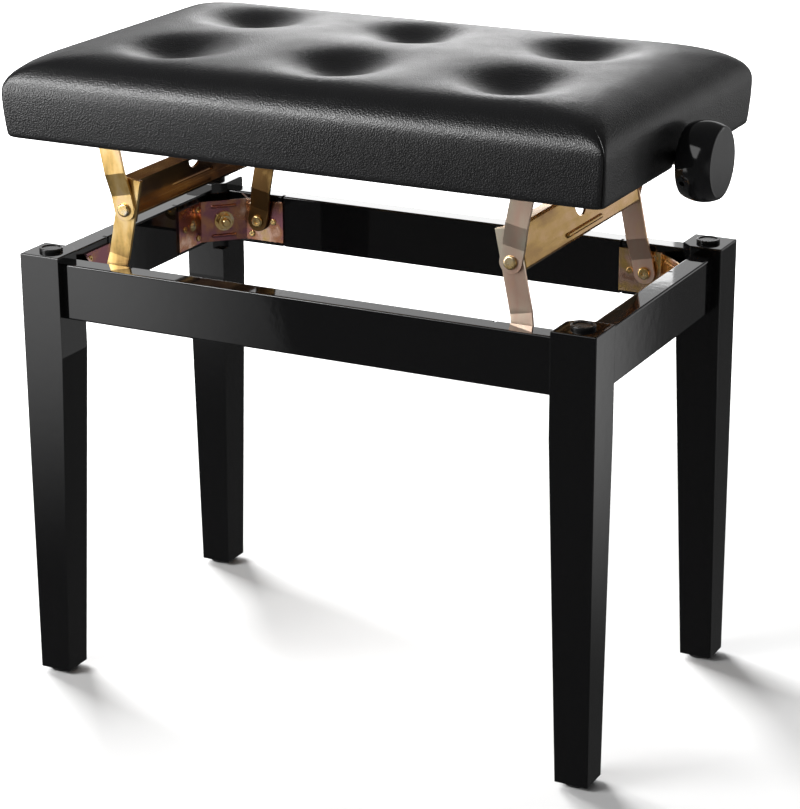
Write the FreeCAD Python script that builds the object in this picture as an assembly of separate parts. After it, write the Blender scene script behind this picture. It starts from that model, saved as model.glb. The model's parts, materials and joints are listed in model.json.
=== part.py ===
import FreeCAD, Part
import math
import os

# Height-adjustable piano bench: a lacquered wooden base, a screw-driven scissor lift and a padded seat.
# Millimetres. +X runs along the bench to the player's right, +Y to the back, +Z up.
# The origin is on the floor under the middle of the bench. The seat stands near its highest setting.

Vec = FreeCAD.Vector

# ---- Base ----
BASE_LENGTH = 550.0        # over the legs' outer faces, along X
BASE_DEPTH = 320.0         # over the legs' outer faces, along Y
LEG_TOP = 402.0            # height of the legs' top faces
LEG_SIDE = 40.0            # square section at the top
FOOT_SIDE = 30.0           # square section at the foot
TAPER_TOP = 310.0          # height where the inner faces start to taper
LEG_CHAMFER = 11.0         # flat on the inner corner, stopped below the bracket
CHAMFER_BOTTOM = 338.0
LEG_EDGE = 1.2             # eased edges of the lacquered wood
RAIL_HEIGHT = 50.0
RAIL_THICK = 20.0
RAIL_RECESS = 7.0          # rail faces set back from the legs' outer faces
RAIL_DROP = 7.0            # rail tops below the leg tops
RAIL_EDGE = 1.5
PIVOT_BELOW_RAIL_MIDDLE = 1.0
GLIDE_RADIUS = 12.0
GLIDE_HEIGHT = 4.0
GLIDE_EDGE = 1.4
BUMPER_RADIUS = 10.5
BUMPER_HEIGHT = 3.0
BUMPER_RIM = 2.2
BUMPER_DISH = 0.8

# ---- Corner brackets and their fasteners ----
BRACKET_SHEET = 2.0
BRACKET_HEIGHT = 40.0
BRACKET_GAP = 12.7         # from the leg's chamfer to the bracket's diagonal plate
WING_LENGTH = 41.0         # each wing, from its bend to its free end
TAB_DEPTH = 4.0            # each wing's end is turned into a saw kerf in the rail
KERF_GAP = 0.2             # between a tab and each face of its kerf
KERF_SPARE = 1.0           # kerfs are this much deeper than the tabs
RIB_LENGTH = 22.0
RIB_RADIUS = 1.6
RIB_OFFSET = 14.5          # above and below the bracket's middle
BOLT_RADIUS = 4.0
BOLT_IN_LEG = 32.0
BOLT_STICKS_OUT = 4.0      # past the nut
BOLT_TIP_CHAMFER = 0.8
NUT_FLAT = 13.0            # across flats
NUT_HEIGHT = 7.0
NUT_FLANGE_RADIUS = 9.5
NUT_FLANGE_THICK = 1.6
NUT_ROUNDING = 0.8         # the hexagon's corners are turned down by this at its end
SCREW_RADIUS = 1.6
SCREW_LENGTH = 14.0
SCREW_HEAD_RADIUS = 3.2
SCREW_HEAD_HEIGHT = 1.2
SCREW_DRIVE_RADIUS = 1.1
SCREW_DRIVE_DEPTH = 0.7
PILOT_SPARE = 0.5          # holes are this much deeper than the screws in them
SCREW_END_INSET = 10.5     # outermost screw, from the wing's free end
SCREW_PAIR_INSET = 34.0    # the pair above and below, from the wing's free end
SCREW_PAIR_RISE = 14.0
STUD_RADIUS = 5.5          # domed plug in the side wing's spare pivot hole
STUD_BALL_RADIUS = 6.6
STUD_DEPTH = 6.0           # in the rail
FIT_GAP = 0.05             # radial clearance of pins, screws and bolts in their holes
HEAD_ROUNDING = 0.8        # of a head's height
PLATE_GAP = 0.3            # side clearance between plates that turn on each other
PAST = 1.0                 # how far cutters reach past the faces they cut

# ---- Lift ----
ARM_LENGTH = 76.5          # between pivots, the same for lower and upper arms
REST_LEAN = 11.4           # degrees that the arms lean from vertical as the bench stands
PIVOT_FROM_END = 75.0      # base and seat pivots, from the legs' outer faces along X
ARM_WIDTH = 20.0
ARM_SHEET = 2.5
PIN_RADIUS = 4.0
PIN_HEAD_RADIUS = 6.0
PIN_HEAD_HEIGHT = 2.2
PIN_COLLAR_RADIUS = 7.0
PIN_COLLAR_HEIGHT = 1.2
PIN_DIMPLE_RADIUS = 2.2
PIN_DIMPLE_DEPTH = 1.2
LOWER_JOGGLE = 4.5         # step of the lower arms towards the bench's middle
JOGGLE_START = 13.0        # distances from the pivot along the arm
JOGGLE_END = 33.0
UPPER_JOGGLE = 3.5         # step of the upper arms outwards above the knee
CROSSBAR_ABOVE_KNEE = 28.5 # its top flange, along the lower arm
CROSSBAR_HEIGHT = 38.0
CROSSBAR_FLANGE = 16.0
CROSSBAR_LIP = 12.0
CROSSBAR_SHEET = 2.5
CROSSBAR_BEND = 3.0        # outer bend radius
SPINDLE_NOTCH_RADIUS = 12.0
SPINDLE_NOTCH_DEPTH = 21.0
FLANGE_NOTCH_DEPTH = 8.0
BEAD_LENGTH = 75.0
BEAD_RADIUS = 2.2
BEAD_RISE = 8.0            # above the crossbar's lower edge
BEAD_GROOVE_RADIUS = 1.76  # pressed in behind the bead
CARRIER_SHEET = 2.5
CARRIER_WIDTH = 22.0
CARRIER_SETBACK = 1.0      # from the notch in the flange
TRUNNION_RADIUS = 5.0
TRUNNION_END = 0.8         # past the carrier's ears
NUT_LENGTH = 20.0          # the lift nuts, along the spindle
NUT_WIDTH = 28.0
NUT_DEPTH = 24.0
NUT_CORNER = 2.0
NUT_THREAD_GAP = 0.7       # lets the spindle rise and fall a little in the nuts

# ---- Spindle and knobs ----
SPINDLE_DROP = 6.5         # spindle axis below the seat pivots
SPINDLE_RADIUS = 7.0
JOURNAL_RADIUS = 6.0
KNOB_FACE_RADIUS = 30.0
KNOB_BELLY_RADIUS = 34.0
KNOB_LENGTH = 31.0
KNOB_GAP = 6.0             # from the seat's side to the knob
KNOB_EDGE = 2.5
KNOB_WALL = 12.0           # solid end of the knob outside the spindle's end
SET_SCREW_RADIUS = 2.5
SET_SCREW_LENGTH = 9.0
SET_SCREW_INSET = 7.0      # from the knob's inner face
SET_SCREW_SLOPE = 0.45     # its hole drops this much for each millimetre to the front
SOCKET_RADIUS = 1.25
SOCKET_DEPTH = 3.0

# ---- Seat ----
SEAT_OVERHANG = 5.0        # past the legs' outer faces, on all sides
SEAT_THICK = 77.0
PIVOT_ABOVE_SEAT_EDGE = 12.3
COVER_SHEET = 1.5
COVER_CORNER = 13.0
COVER_SHOULDER = 24.0
COVER_HEM = 14.0
SOFT_GAP = 0.3             # soft pieces stay this far from their neighbours
SEAT_RAIL_THICK = 18.0
SEAT_RAIL_HEIGHT = 36.0
BOARD_THICK = 12.0
NOTCH_WIDTH = 35.0         # in the seat's sides, for the spindle
NOTCH_HEIGHT = 5.5
NOTCH_CORNER = 1.5
SHAFT_HOLE_RADIUS = 9.0
BEARING_SHEET = 3.0
BEARING_WIDTH = 50.0
BEARING_ABOVE_HEM = 1.0
BEARING_CORNER = 5.0
BEARING_SCREW_INSET = 8.0  # from the plate's top and side edges
SEAT_PLATE_SHEET = 2.5     # seat pivot brackets
SEAT_PLATE_LENGTH = 60.0
SEAT_EAR_WIDTH = 26.0
EAR_ABOVE_EDGE = 1.0       # the ear ends this far above the seat's lower edge
SEAT_SCREW_SPREAD = 21.0
BOARD_SCREW_SHORT = 2.0    # board left above the bracket screws' tips
LOWEST_GAP = 4.0           # between the seat's edge and the bumpers at the lowest setting

# ---- Places that follow from the sizes above ----
LEG_X = BASE_LENGTH / 2
LEG_Y = BASE_DEPTH / 2
RAIL_TOP = LEG_TOP - RAIL_DROP
RAIL_BOTTOM = RAIL_TOP - RAIL_HEIGHT
RAIL_X = LEG_X - RAIL_RECESS
RAIL_Y = LEG_Y - RAIL_RECESS
RAIL_INNER_X = RAIL_X - RAIL_THICK
RAIL_INNER_Y = RAIL_Y - RAIL_THICK
PIVOT_Z = (RAIL_TOP + RAIL_BOTTOM) / 2 - PIVOT_BELOW_RAIL_MIDDLE
PIVOT_FROM_MIDDLE = LEG_X - PIVOT_FROM_END
BRACKET_Y = RAIL_INNER_Y - BRACKET_SHEET
FOOT_Y = BRACKET_Y - PIN_COLLAR_HEIGHT - PLATE_GAP       # outer face of a lower arm's foot
MAIN_Y = FOOT_Y - LOWER_JOGGLE                           # outer face of its main length
KNEE_Y = MAIN_Y + PLATE_GAP + ARM_SHEET                  # outer face of an upper arm at the knee
UPPER_Y = KNEE_Y + UPPER_JOGGLE                          # and above its joggle
EAR_Y = MAIN_Y - ARM_SHEET                               # outer face of the crossbar's ears
CROSSBAR_TOP = ARM_LENGTH + CROSSBAR_ABOVE_KNEE          # along the lower arm, from its base pivot
CROSSBAR_BOTTOM = CROSSBAR_TOP - CROSSBAR_HEIGHT
LEAN = math.radians(REST_LEAN)
LIFT_RISE = 2 * ARM_LENGTH * math.cos(LEAN)
SEAT_LENGTH = BASE_LENGTH + 2 * SEAT_OVERHANG
SEAT_DEPTH = BASE_DEPTH + 2 * SEAT_OVERHANG
SEAT_PIVOT_Z = PIVOT_Z + LIFT_RISE
SEAT_BOTTOM = SEAT_PIVOT_Z - PIVOT_ABOVE_SEAT_EDGE
SEAT_TOP = SEAT_BOTTOM + SEAT_THICK
SPINDLE_Z = SEAT_PIVOT_Z - SPINDLE_DROP
KNEE_X = PIVOT_FROM_MIDDLE - ARM_LENGTH * math.sin(LEAN)
KNEE_Z = PIVOT_Z + ARM_LENGTH * math.cos(LEAN)
# The seat is lowest where its edge meets the bumpers.
LOW_RISE = LIFT_RISE - (SEAT_BOTTOM - LEG_TOP - BUMPER_HEIGHT - LOWEST_GAP)
LOW_LEAN = math.acos(LOW_RISE / (2 * ARM_LENGTH))
# The nuts' place on the lift frames keeps them on the spindle from the rest lean to the lowest one.
MIDDLE_LEAN = (LEAN + LOW_LEAN) / 2
HALF_SWING = (LOW_LEAN - LEAN) / 2
NUT_SWING = 2 * SPINDLE_DROP / (1 + math.cos(HALF_SWING))
NUT_ALONG = 2 * ARM_LENGTH - NUT_SWING * math.cos(MIDDLE_LEAN)
NUT_INWARD = NUT_SWING * math.sin(MIDDLE_LEAN)
KNOB_INNER_X = SEAT_LENGTH / 2 + KNOB_GAP
KNOB_OUTER_X = KNOB_INNER_X + KNOB_LENGTH
FRAME_X = SEAT_LENGTH / 2 - COVER_SHEET - SOFT_GAP       # outer faces of the seat's wooden frame
FRAME_Y = SEAT_DEPTH / 2 - COVER_SHEET - SOFT_GAP
FRAME_BOTTOM = SEAT_BOTTOM + COVER_SHEET + SOFT_GAP
BOARD_BOTTOM = FRAME_BOTTOM + SEAT_RAIL_HEIGHT
BOARD_TOP = BOARD_BOTTOM + BOARD_THICK
FRAME_INNER_X = FRAME_X - SEAT_RAIL_THICK
FRAME_INNER_Y = FRAME_Y - SEAT_RAIL_THICK
SEAT_EAR_Y = UPPER_Y + PLATE_GAP                         # inner face of a seat pivot bracket's ear
SEAT_PLATE_FOOT = FRAME_INNER_Y - SEAT_EAR_Y - PLATE_GAP # its foot reaches to the seat's rail

SIDES = (("left", -1), ("right", 1))
ENDS = (("front", -1), ("back", 1))


# ---- Helpers ----
def block(low, high):
    """Box between two opposite corners."""
    size = [high[i] - low[i] for i in range(3)]
    return Part.makeBox(size[0], size[1], size[2], Vec(*low))


def rod(start, end, radius):
    """Cylinder between two points."""
    axis = Vec(*end) - Vec(*start)
    return Part.makeCylinder(radius, axis.Length, Vec(*start), axis)


def hole(point, direction, start, end, radius):
    """Cutter for a pin or screw of this radius, between two distances from a point."""
    return rod(point + direction * start, point + direction * end, radius + FIT_GAP)


def prism(points, along):
    """Straight prism on a closed outline of corner points."""
    corners = [Vec(*p) for p in points]
    return Part.Face(Part.makePolygon(corners + corners[:1])).extrude(Vec(*along))


def joined(shapes):
    """One clean solid from touching or overlapping ones."""
    return shapes[0].fuse(shapes[1:]).removeSplitter()


def group(shapes):
    return Part.makeCompound(shapes)


def edges_where(shape, test):
    return [edge for edge in shape.Edges if test(edge)]


def is_vertical(edge):
    ends = edge.Vertexes
    return len(ends) == 2 and (ends[0].Point - ends[1].Point).cross(Vec(0, 0, 1)).Length < 0.01


def mirror_x(shape):
    return shape.mirror(Vec(0, 0, 0), Vec(1, 0, 0))


def mirror_y(shape):
    return shape.mirror(Vec(0, 0, 0), Vec(0, 1, 0))


def at_corner(shape, side, end):
    """Copy of a shape made for the right back corner, at the corner with these signs."""
    if side < 0:
        shape = mirror_x(shape)
    if end < 0:
        shape = mirror_y(shape)
    return shape


def lean_from(shape, x, z, degrees):
    """Shape built about the origin with its length along Z, leaned towards +X and moved to (x, z)."""
    placed = shape.copy()
    placed.rotate(Vec(0, 0, 0), Vec(0, 1, 0), degrees)
    placed.translate(Vec(x, 0, z))
    return placed


def on_frame(shape):
    """Right lift frame piece: local Z along the lower arm from its pivot, local X outwards."""
    return lean_from(shape, PIVOT_FROM_MIDDLE, PIVOT_Z, -REST_LEAN)


def pan_head(point, outward, radius, height):
    """Low domed screw head that sits on a face at the point."""
    head = rod(point, Vec(*point) + Vec(*outward) * height, radius)
    top = Vec(*point) + Vec(*outward) * height
    rim = edges_where(head, lambda e: (e.CenterOfMass - top).Length < 0.01)
    return head.makeFillet(height * HEAD_ROUNDING, rim)


def save(shape, node):
    shape.exportStep("parts/" + node + ".step")


# ---- Base ----
def make_leg():
    """Right back leg: square above, both inner faces tapered to the foot, stopped inner chamfer."""
    inner_x = LEG_X - LEG_SIDE
    inner_y = LEG_Y - LEG_SIDE
    leg = block((inner_x, inner_y, GLIDE_HEIGHT), (LEG_X, LEG_Y, LEG_TOP))
    narrow = LEG_SIDE - FOOT_SIDE
    leg = leg.cut(prism([(inner_x, inner_y, TAPER_TOP), (inner_x, inner_y, GLIDE_HEIGHT),
                         (inner_x + narrow, inner_y, GLIDE_HEIGHT)], (0, LEG_SIDE, 0)))
    leg = leg.cut(prism([(inner_x, inner_y, TAPER_TOP), (inner_x, inner_y, GLIDE_HEIGHT),
                         (inner_x, inner_y + narrow, GLIDE_HEIGHT)], (LEG_SIDE, 0, 0)))
    outer = edges_where(leg, lambda e: e.Length > LEG_SIDE + PAST and e.BoundBox.ZMin < GLIDE_HEIGHT + PAST
                        and e.CenterOfMass.x > inner_x + narrow
                        or abs(e.CenterOfMass.z - LEG_TOP) < 0.01)
    leg = leg.makeFillet(LEG_EDGE, outer)
    chamfer = prism([(inner_x - PAST, inner_y - PAST, CHAMFER_BOTTOM),
                     (inner_x + LEG_CHAMFER, inner_y - PAST, CHAMFER_BOTTOM),
                     (inner_x + LEG_CHAMFER, inner_y, CHAMFER_BOTTOM),
                     (inner_x, inner_y + LEG_CHAMFER, CHAMFER_BOTTOM),
                     (inner_x - PAST, inner_y + LEG_CHAMFER, CHAMFER_BOTTOM)],
                    (0, 0, LEG_TOP - CHAMFER_BOTTOM + PAST))
    leg = leg.cut(chamfer)
    start, end = bolt_line(0, BRACKET_GAP + BOLT_IN_LEG + PILOT_SPARE)
    return leg.cut(rod(start, end, BOLT_RADIUS + FIT_GAP))


def bracket_middle():
    """Middle of the outer face of the right back bracket's diagonal plate."""
    chamfer_x = LEG_X - LEG_SIDE + LEG_CHAMFER / 2
    chamfer_y = LEG_Y - LEG_SIDE + LEG_CHAMFER / 2
    step = BRACKET_GAP / math.sqrt(2)
    return Vec(chamfer_x - step, chamfer_y - step, PIVOT_Z)


def bolt_line(start, end):
    """Two points on the bolt's axis, measured from the diagonal plate towards the leg."""
    away = Vec(1, 1, 0).normalize()
    return bracket_middle() + away * start, bracket_middle() + away * end


def bracket_bends():
    """Outer-face bends of the right back bracket: on the back rail's face and on the side rail's."""
    total = bracket_middle().x + bracket_middle().y
    return (total - RAIL_INNER_Y, RAIL_INNER_Y), (RAIL_INNER_X, total - RAIL_INNER_X)


def screw_places():
    """Screws of the right back bracket: a point on the rail's face and the direction into the wood."""
    (back_x, back_y), (side_x, side_y) = bracket_bends()
    places = []
    for inset, rise in ((SCREW_END_INSET, 0), (SCREW_PAIR_INSET, SCREW_PAIR_RISE),
                        (SCREW_PAIR_INSET, -SCREW_PAIR_RISE)):
        places.append((Vec(back_x - WING_LENGTH + inset, back_y, PIVOT_Z + rise), Vec(0, 1, 0)))
        places.append((Vec(side_x, side_y - WING_LENGTH + inset, PIVOT_Z + rise), Vec(1, 0, 0)))
    return places


def stud_place():
    """Spare pivot hole of the side wing, as far from the wing's end as the pivot is on the other."""
    (back_x, back_y), (side_x, side_y) = bracket_bends()
    from_bend = back_x - PIVOT_FROM_MIDDLE
    return Vec(side_x, side_y - from_bend, PIVOT_Z)


def make_bracket():
    """Pressed corner bracket: two wings with turned-in ends and a diagonal plate with two ribs."""
    (back_x, back_y), (side_x, side_y) = bracket_bends()
    bottom = PIVOT_Z - BRACKET_HEIGHT / 2
    inset = BRACKET_SHEET * math.tan(math.radians(22.5))
    back_end = back_x - WING_LENGTH
    side_end = side_y - WING_LENGTH
    outline = [(back_end, back_y + TAB_DEPTH), (back_end + BRACKET_SHEET, back_y + TAB_DEPTH),
               (back_end + BRACKET_SHEET, back_y), (back_x, back_y), (side_x, side_y),
               (side_x, side_end + BRACKET_SHEET), (side_x + TAB_DEPTH, side_end + BRACKET_SHEET),
               (side_x + TAB_DEPTH, side_end), (side_x - BRACKET_SHEET, side_end),
               (side_x - BRACKET_SHEET, side_y - inset), (back_x - inset, back_y - BRACKET_SHEET),
               (back_end, back_y - BRACKET_SHEET)]
    bracket = prism([(x, y, bottom) for x, y in outline], (0, 0, BRACKET_HEIGHT))
    along = Vec(1, -1, 0).normalize() * (RIB_LENGTH / 2)
    face = bolt_line(-BRACKET_SHEET, 0)[0]
    ribs = []
    for rise in (-RIB_OFFSET, RIB_OFFSET):
        middle = face + Vec(0, 0, rise)
        ribs.append(rod(middle - along, middle + along, RIB_RADIUS))
        ribs += [Part.makeSphere(RIB_RADIUS, middle - along), Part.makeSphere(RIB_RADIUS, middle + along)]
    corner = [(back_x, back_y, bottom), (side_x, side_y, bottom), (RAIL_INNER_X, RAIL_INNER_Y, bottom)]
    outer = prism(corner, (0, 0, BRACKET_HEIGHT))
    bracket = joined([bracket] + ribs).cut(outer)
    start, end = bolt_line(-BRACKET_SHEET - PAST, PAST)
    bracket = bracket.cut(rod(start, end, BOLT_RADIUS + FIT_GAP))
    for point, into in screw_places():
        bracket = bracket.cut(hole(point, into, -BRACKET_SHEET - PAST, PAST, SCREW_RADIUS))
    pivot = Vec(PIVOT_FROM_MIDDLE, RAIL_INNER_Y, PIVOT_Z)
    bracket = bracket.cut(hole(pivot, Vec(0, 1, 0), -BRACKET_SHEET - PAST, PAST, PIN_RADIUS))
    return bracket.cut(hole(stud_place(), Vec(1, 0, 0), -BRACKET_SHEET - PAST, PAST, PIN_RADIUS))


def make_rails():
    """The four base rails, butted between the legs, with the brackets' pilot holes and kerfs."""
    inner_x = LEG_X - LEG_SIDE
    inner_y = LEG_Y - LEG_SIDE
    back = block((-inner_x, RAIL_INNER_Y, RAIL_BOTTOM), (inner_x, RAIL_Y, RAIL_TOP))
    back = back.makeFillet(RAIL_EDGE, edges_where(back, lambda e: e.Length > 2 * inner_x - PAST))
    right = block((RAIL_INNER_X, -inner_y, RAIL_BOTTOM), (RAIL_X, inner_y, RAIL_TOP))
    right = right.makeFillet(RAIL_EDGE, edges_where(right, lambda e: e.Length > 2 * inner_y - PAST))
    for point, into in screw_places():
        pilot = hole(point, into, -PAST, SCREW_LENGTH + PILOT_SPARE, SCREW_RADIUS)
        back = back.cut([pilot, mirror_x(pilot)])
        right = right.cut([pilot, mirror_y(pilot)])
    stud_hole = hole(stud_place(), Vec(1, 0, 0), -PAST, STUD_DEPTH + PILOT_SPARE, PIN_RADIUS)
    right = right.cut([stud_hole, mirror_y(stud_hole)])
    (back_bend, _), (_, side_bend) = bracket_bends()
    kerf = TAB_DEPTH + KERF_SPARE
    low = -WING_LENGTH - KERF_GAP
    high = -WING_LENGTH + BRACKET_SHEET + KERF_GAP
    back_kerf = block((back_bend + low, RAIL_INNER_Y - PAST, RAIL_BOTTOM - PAST),
                      (back_bend + high, RAIL_INNER_Y + kerf, RAIL_TOP + PAST))
    back = back.cut([back_kerf, mirror_x(back_kerf)])
    side_kerf = block((RAIL_INNER_X - PAST, side_bend + low, RAIL_BOTTOM - PAST),
                      (RAIL_INNER_X + kerf, side_bend + high, RAIL_TOP + PAST))
    right = right.cut([side_kerf, mirror_y(side_kerf)])
    return {"rail_front": mirror_y(back), "rail_back": back, "rail_left": mirror_x(right),
            "rail_right": right}


def make_glide():
    foot = FOOT_SIDE / 2
    centre = Vec(LEG_X - foot, LEG_Y - foot, 0)
    glide = Part.makeCylinder(GLIDE_RADIUS, GLIDE_HEIGHT, centre)
    rim = edges_where(glide, lambda e: abs(e.CenterOfMass.z) < 0.01)
    return glide.makeFillet(GLIDE_EDGE, rim)


def make_bumper():
    """Buffer disc on a leg top: a shallow dish inside a raised rim."""
    middle = LEG_SIDE / 2
    centre = Vec(LEG_X - middle, LEG_Y - middle, LEG_TOP)
    disc = Part.makeCylinder(BUMPER_RADIUS, BUMPER_HEIGHT, centre)
    top = LEG_TOP + BUMPER_HEIGHT
    disc = disc.makeFillet(BUMPER_DISH, edges_where(disc, lambda e: abs(e.CenterOfMass.z - top) < 0.01))
    dish = Part.makeCylinder(BUMPER_RADIUS - BUMPER_RIM, BUMPER_DISH + PAST,
                             centre + Vec(0, 0, BUMPER_HEIGHT - BUMPER_DISH))
    return disc.cut(dish)


def make_hanger_bolt():
    start, end = bolt_line(-BRACKET_SHEET - NUT_HEIGHT - BOLT_STICKS_OUT, BRACKET_GAP + BOLT_IN_LEG)
    bolt = rod(start, end, BOLT_RADIUS)
    tip = edges_where(bolt, lambda e: (e.CenterOfMass - start).Length < 0.1)
    return bolt.makeChamfer(BOLT_TIP_CHAMFER, tip)


def make_flange_nut():
    face, end = bolt_line(-BRACKET_SHEET, -BRACKET_SHEET - NUT_HEIGHT)
    away = (end - face).normalize()
    flange = rod(face, face + away * NUT_FLANGE_THICK, NUT_FLANGE_RADIUS)
    corner_radius = NUT_FLAT / math.sqrt(3)
    across = Vec(1, -1, 0).normalize()
    corners = []
    for turn in range(6):
        angle = math.radians(60 * turn)
        corners.append(face + across * (corner_radius * math.cos(angle))
                       + Vec(0, 0, corner_radius * math.sin(angle)))
    hexagon = prism([tuple(c) for c in corners], tuple(away * NUT_HEIGHT))
    rounding = Part.makeCone(corner_radius + NUT_HEIGHT, corner_radius - NUT_ROUNDING, NUT_HEIGHT,
                             face, away)
    nut = joined([hexagon.common(rounding), flange])
    return nut.cut(rod(face - away, end + away, BOLT_RADIUS + FIT_GAP))


def make_bracket_screws():
    screws = []
    for point, into in screw_places():
        seat = point - into * BRACKET_SHEET
        head = pan_head(seat, -into, SCREW_HEAD_RADIUS, SCREW_HEAD_HEIGHT)
        top = seat - into * SCREW_HEAD_HEIGHT
        drive = rod(top - into, top + into * SCREW_DRIVE_DEPTH, SCREW_DRIVE_RADIUS)
        screws.append(joined([head, rod(seat, point + into * SCREW_LENGTH, SCREW_RADIUS)]).cut(drive))
    return screws


def make_stud():
    """Domed plug in the side wing's spare pivot hole."""
    stud = stud_place()
    seat = stud - Vec(BRACKET_SHEET, 0, 0)
    centre = seat + Vec(math.sqrt(STUD_BALL_RADIUS ** 2 - STUD_RADIUS ** 2), 0, 0)
    dome = Part.makeSphere(STUD_BALL_RADIUS, centre)
    reach = Vec(STUD_BALL_RADIUS, STUD_BALL_RADIUS, STUD_BALL_RADIUS)
    inside = block(tuple(seat - reach), tuple(seat + reach - Vec(STUD_BALL_RADIUS, 0, 0)))
    return joined([dome.common(inside), rod(seat, stud + Vec(STUD_DEPTH, 0, 0), PIN_RADIUS)])


def make_base_pin():
    """Pivot of a lower arm: riveted in the bracket, with a collar behind the arm and a head on it."""
    axis = Vec(0, 1, 0)
    wood = Vec(PIVOT_FROM_MIDDLE, RAIL_INNER_Y, PIVOT_Z)
    wing = wood - axis * BRACKET_SHEET
    head_seat = wing - axis * (PIN_COLLAR_HEIGHT + 2 * PLATE_GAP + ARM_SHEET)
    head = pan_head(head_seat, -axis, PIN_HEAD_RADIUS, PIN_HEAD_HEIGHT)
    collar = rod(wing - axis * PIN_COLLAR_HEIGHT, wing, PIN_COLLAR_RADIUS)
    pin = joined([head, collar, rod(head_seat, wood, PIN_RADIUS)])
    top = head_seat - axis * PIN_HEAD_HEIGHT
    dimple = rod(top - axis, top + axis * PIN_DIMPLE_DEPTH, PIN_DIMPLE_RADIUS)
    return pin.cut(dimple)


# ---- Lift ----
def joggled_strip(bottom, top, outer_below, outer_above, round_bottom, round_top):
    """Flat arm along Z with a step in Y, its outer face at one depth below and another above."""
    half = ARM_WIDTH / 2
    profile = [(0, outer_below, bottom), (0, outer_below, JOGGLE_START), (0, outer_above, JOGGLE_END),
               (0, outer_above, top), (0, outer_above - ARM_SHEET, top),
               (0, outer_above - ARM_SHEET, JOGGLE_END), (0, outer_below - ARM_SHEET, JOGGLE_START),
               (0, outer_below - ARM_SHEET, bottom)]
    strip = prism([(x - half, y, z) for x, y, z in profile], (ARM_WIDTH, 0, 0))
    low_y = min(outer_below, outer_above) - ARM_SHEET - PAST
    depth = abs(outer_above - outer_below) + ARM_SHEET + 2 * PAST
    straight_bottom = bottom + half if round_bottom else bottom
    straight_top = top - half if round_top else top
    outline = [block((-half, low_y, straight_bottom), (half, low_y + depth, straight_top))]
    if round_bottom:
        outline.append(rod((0, low_y, straight_bottom), (0, low_y + depth, straight_bottom), half))
    if round_top:
        outline.append(rod((0, low_y, straight_top), (0, low_y + depth, straight_top), half))
    return strip.common(joined(outline))


def pin_hole(x, z, outer_y, sheet, radius):
    """Cutter along Y through a plate whose outer face is at the given depth."""
    return hole(Vec(x, outer_y, z), Vec(0, 1, 0), -sheet - PAST, PAST, radius)


def make_lower_arm():
    """Right back lower arm, along Z from its base pivot up to the crossbar's flange."""
    arm = joggled_strip(-ARM_WIDTH / 2, CROSSBAR_TOP, FOOT_Y, MAIN_Y, True, False)
    arm = arm.cut(pin_hole(0, 0, FOOT_Y, ARM_SHEET, PIN_RADIUS))
    arm = arm.cut(pin_hole(0, ARM_LENGTH, MAIN_Y, ARM_SHEET, PIN_RADIUS))
    return on_frame(arm)


def make_crossbar():
    """Pressed crossbar: web, top flange, bottom lip and an ear on each arm, notched for the spindle."""
    outer = ARM_WIDTH / 2
    ear_inner = -outer
    sheet = CROSSBAR_SHEET
    pan = block((ear_inner, -EAR_Y, CROSSBAR_BOTTOM), (outer, EAR_Y, CROSSBAR_TOP))
    bends = edges_where(pan, lambda e: abs(e.CenterOfMass.x - outer) < 0.01)
    pan = pan.makeFillet(CROSSBAR_BEND, bends)
    inner = block((ear_inner - PAST, -EAR_Y + sheet, CROSSBAR_BOTTOM + sheet),
                  (outer - sheet, EAR_Y - sheet, CROSSBAR_TOP - sheet))
    pan = pan.cut(inner)
    # The flange and the lip reach less far in than the ears.
    for reach, low in ((CROSSBAR_FLANGE, CROSSBAR_TOP - sheet), (CROSSBAR_LIP, CROSSBAR_BOTTOM)):
        pan = pan.cut(block((ear_inner - PAST, -EAR_Y + sheet, low - PAST),
                            (outer - reach, EAR_Y - sheet, low + sheet + PAST)))
    bead_z = CROSSBAR_BOTTOM + BEAD_RISE
    reach = BEAD_LENGTH / 2 - BEAD_RADIUS
    bead = joined([rod((outer, -reach, bead_z), (outer, reach, bead_z), BEAD_RADIUS),
                   Part.makeSphere(BEAD_RADIUS, Vec(outer, -reach, bead_z)),
                   Part.makeSphere(BEAD_RADIUS, Vec(outer, reach, bead_z))])
    groove = rod((outer - sheet, -reach, bead_z), (outer - sheet, reach, bead_z), BEAD_GROOVE_RADIUS)
    pan = joined([pan, bead]).cut(groove)
    notch_z = CROSSBAR_TOP - SPINDLE_NOTCH_DEPTH + SPINDLE_NOTCH_RADIUS
    radius = SPINDLE_NOTCH_RADIUS
    low_x = outer - FLANGE_NOTCH_DEPTH
    high_x = outer + PAST
    notch = joined([rod((low_x, 0, notch_z), (high_x, 0, notch_z), radius),
                    block((low_x, -radius, notch_z), (high_x, radius, CROSSBAR_TOP + PAST))])
    pan = pan.cut(notch)
    for ear_y in (-EAR_Y + sheet, EAR_Y):
        pan = pan.cut(pin_hole(0, ARM_LENGTH, ear_y, sheet, PIN_RADIUS))
    return on_frame(pan)


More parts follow.
